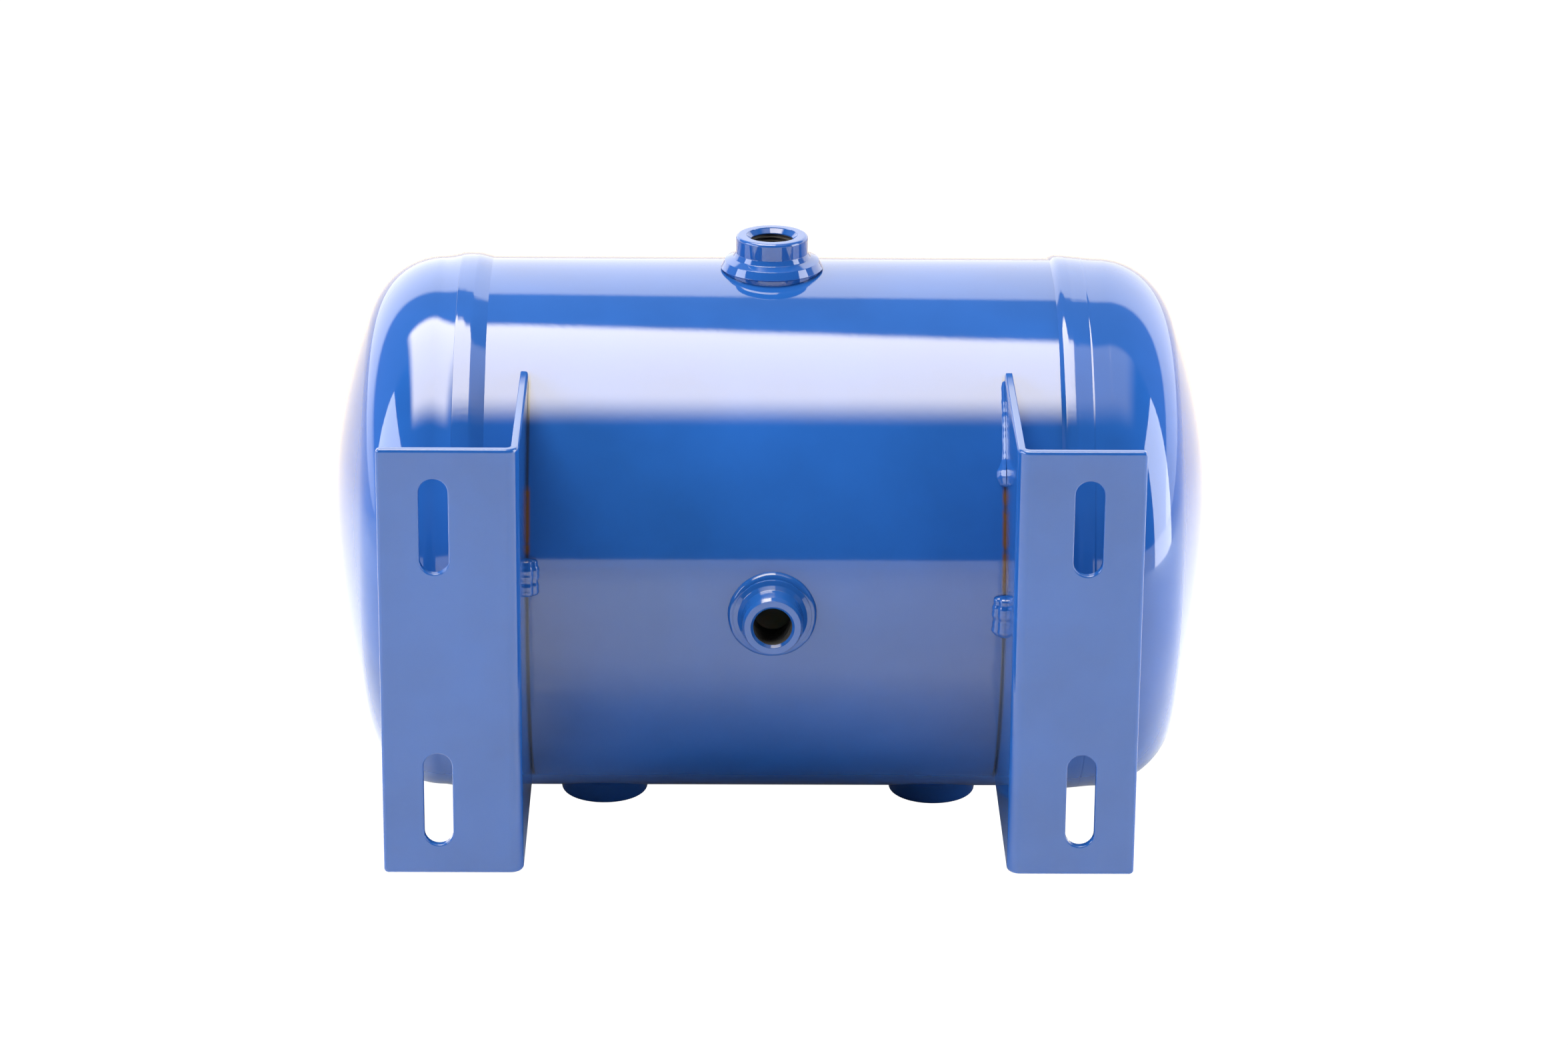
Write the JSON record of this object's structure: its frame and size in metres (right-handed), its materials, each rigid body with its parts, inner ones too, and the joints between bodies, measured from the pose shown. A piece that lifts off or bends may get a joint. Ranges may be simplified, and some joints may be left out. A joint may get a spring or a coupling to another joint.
{
  "type": "horizontal pressure vessel with mounting brackets",
  "caption": "Horizontal blue-enamelled steel pressure vessel with dished heads, welded threaded ports and bent slotted mounting brackets, used as a buffer or expansion tank.",
  "frame": {"origin": "on the plane of the bracket feet's outer faces, level with the vessel's axis and at mid-length", "axes": "+X along the vessel's axis, -Y out through the feet towards what they bolt to, +Z towards the single large port"},
  "size_m": [0.34, 0.2593, 0.2294],
  "materials": {
    "vessel_enamel": "glossy stoved blue enamel",
    "bracket_enamel": "glossy blue enamel on bent plate",
    "weld_enamel": "glossy blue enamel over rippled weld metal",
    "bare_weld": "bare weld metal inside the vessel"
  },
  "bodies": {
    "root": {"shell": "vessel_enamel", "head_left": "vessel_enamel", "head_right": "vessel_enamel", "head_weld_left": "weld_enamel", "head_weld_right": "weld_enamel", "seam_weld": "weld_enamel", "top_port": "vessel_enamel", "drain_port": "vessel_enamel", "bottom_port_left": "vessel_enamel", "bottom_port_right": "vessel_enamel", "top_port_weld": "bare_weld", "drain_port_weld": "weld_enamel", "bottom_port_left_weld": "weld_enamel", "bottom_port_right_weld": "weld_enamel", "bracket_left": "bracket_enamel", "bracket_right": "bracket_enamel", "bracket_left_weld_inner_middle": "weld_enamel", "bracket_left_weld_outer_upper": "weld_enamel", "bracket_left_weld_outer_middle": "weld_enamel", "bracket_left_weld_outer_lower": "weld_enamel", "bracket_right_weld_inner_upper": "weld_enamel", "bracket_right_weld_inner_middle": "weld_enamel", "bracket_right_weld_outer_upper": "weld_enamel", "bracket_right_weld_outer_middle": "weld_enamel", "bracket_right_weld_outer_lower": "weld_enamel"}
  },
  "joints": []
}
